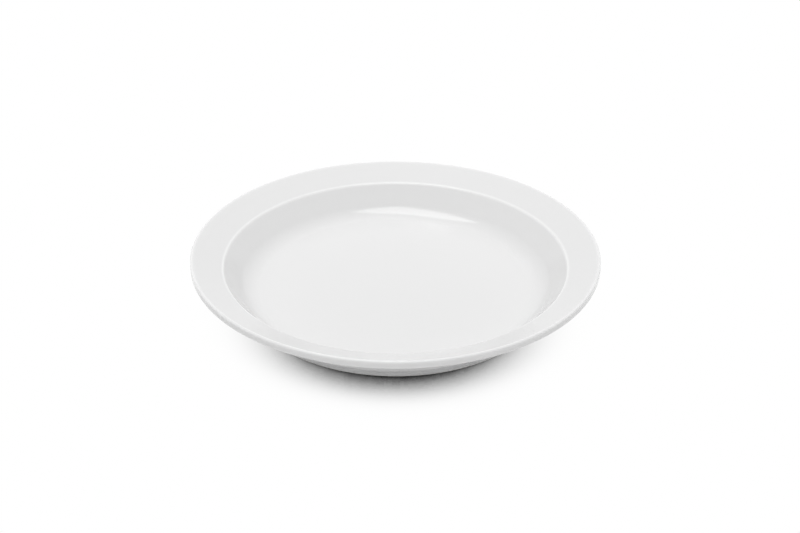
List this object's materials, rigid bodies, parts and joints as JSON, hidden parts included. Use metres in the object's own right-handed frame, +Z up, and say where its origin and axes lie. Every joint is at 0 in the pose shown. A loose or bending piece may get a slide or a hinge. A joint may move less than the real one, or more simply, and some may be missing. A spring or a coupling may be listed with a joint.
{
  "type": "semi-deep plate",
  "caption": "Round white glazed porcelain plate with a semi-deep, flat-floored well, a sloping rim and a foot ring, for serving soup, pasta or food in sauce.",
  "frame": {"origin": "centre of the foot ring's circle, on the table", "axes": "+Z up along the plate's axis, and +X and +Y level; the plate is round, so these two are alike"},
  "size_m": [0.235, 0.235, 0.0299],
  "materials": {
    "glazed_porcelain": "clear glossy glaze over a white porcelain body, with the foot ring's lower face left unglazed"
  },
  "bodies": {
    "root": {"plate": "glazed_porcelain"}
  },
  "joints": []
}
